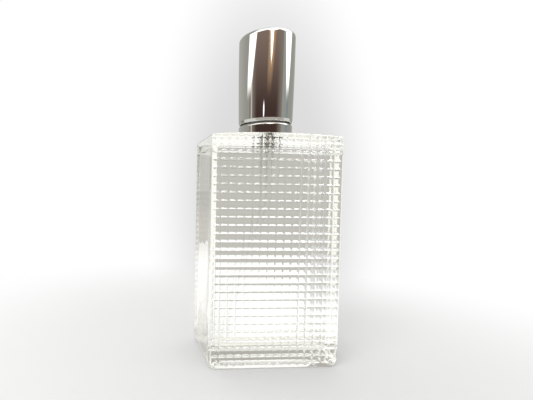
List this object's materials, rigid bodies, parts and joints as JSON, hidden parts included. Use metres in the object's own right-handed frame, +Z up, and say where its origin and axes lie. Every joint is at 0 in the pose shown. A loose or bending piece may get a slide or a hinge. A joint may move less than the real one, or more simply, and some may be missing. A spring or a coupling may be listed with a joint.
{
  "type": "aftershave spray bottle",
  "caption": "Flat rectangular clear-glass aftershave flask with a dimpled tile front, a crimped spray pump with dip tube and a tall chrome lift-off cap.",
  "frame": {"origin": "centre of the flask's base, in the plane it stands on", "axes": "+Z up along the pump's stem and the cap, -Y out of the dimpled front face, +X to the right as seen from the front"},
  "size_m": [0.0574, 0.0322, 0.147],
  "materials": {
    "flask_glass": "clear flint glass, polished",
    "chrome_plate": "mirror-bright plating",
    "ferrule_aluminium": "bright rolled sheet",
    "weight_steel": "turned, zinc plated",
    "spring_steel": "drawn stainless wire",
    "pump_plastic": "natural polypropylene",
    "tube_plastic": "translucent polyethylene",
    "button_plastic": "moulded, grey",
    "insert_plastic": "moulded, black",
    "liner_plastic": "moulded, dark grey",
    "seal_rubber": "moulded nitrile rubber"
  },
  "bodies": {
    "bottle": {"glass_flask": "flask_glass", "neck_gasket": "seal_rubber", "pump_housing": "pump_plastic", "crimp_ferrule": "ferrule_aluminium", "stem_seal": "seal_rubber", "pump_turret": "pump_plastic", "dip_tube": "tube_plastic", "return_spring": "spring_steel", "collar_ring": "chrome_plate", "collar_liner": "liner_plastic"},
    "ball": {"inlet_ball": "spring_steel"},
    "stem": {"pump_stem": "pump_plastic", "stem_foot": "pump_plastic", "valve_spring": "spring_steel"},
    "piston": {"pump_piston": "tube_plastic"},
    "actuator": {"actuator_button": "button_plastic", "actuator_shell": "chrome_plate", "spray_insert": "insert_plastic"},
    "cap": {"cap_shell": "chrome_plate", "cap_liner": "liner_plastic", "cap_weight": "weight_steel"}
  },
  "joints": [
    {"name": "cap_lift", "type": "slide", "parent": "bottle", "child": "cap", "axis": [0, 0, 1], "range_m": [0, 0.055]},
    {"name": "pump_press", "type": "slide", "parent": "bottle", "child": "stem", "axis": [0, 0, -1], "range_m": [0, 0.0045], "stiffness_N_per_m": 1500, "deforming": ["return_spring"]},
    {"name": "piston_slip", "type": "slide", "parent": "stem", "child": "piston", "axis": [0, 0, 1], "range_m": [0, 0.0006], "deforming": ["valve_spring"]},
    {"name": "actuator_turn", "type": "hinge", "parent": "stem", "child": "actuator", "pos_m": [0, 0, 0.12], "axis": [0, 0, 1], "continuous": true},
    {"name": "ball_lift", "type": "slide", "parent": "bottle", "child": "ball", "axis": [0, 0, 1], "range_m": [0, 0.0007]}
  ],
  "couplings": [
    {"joint": "piston_slip", "follows": "pump_press", "ratio": 0.1333}
  ]
}
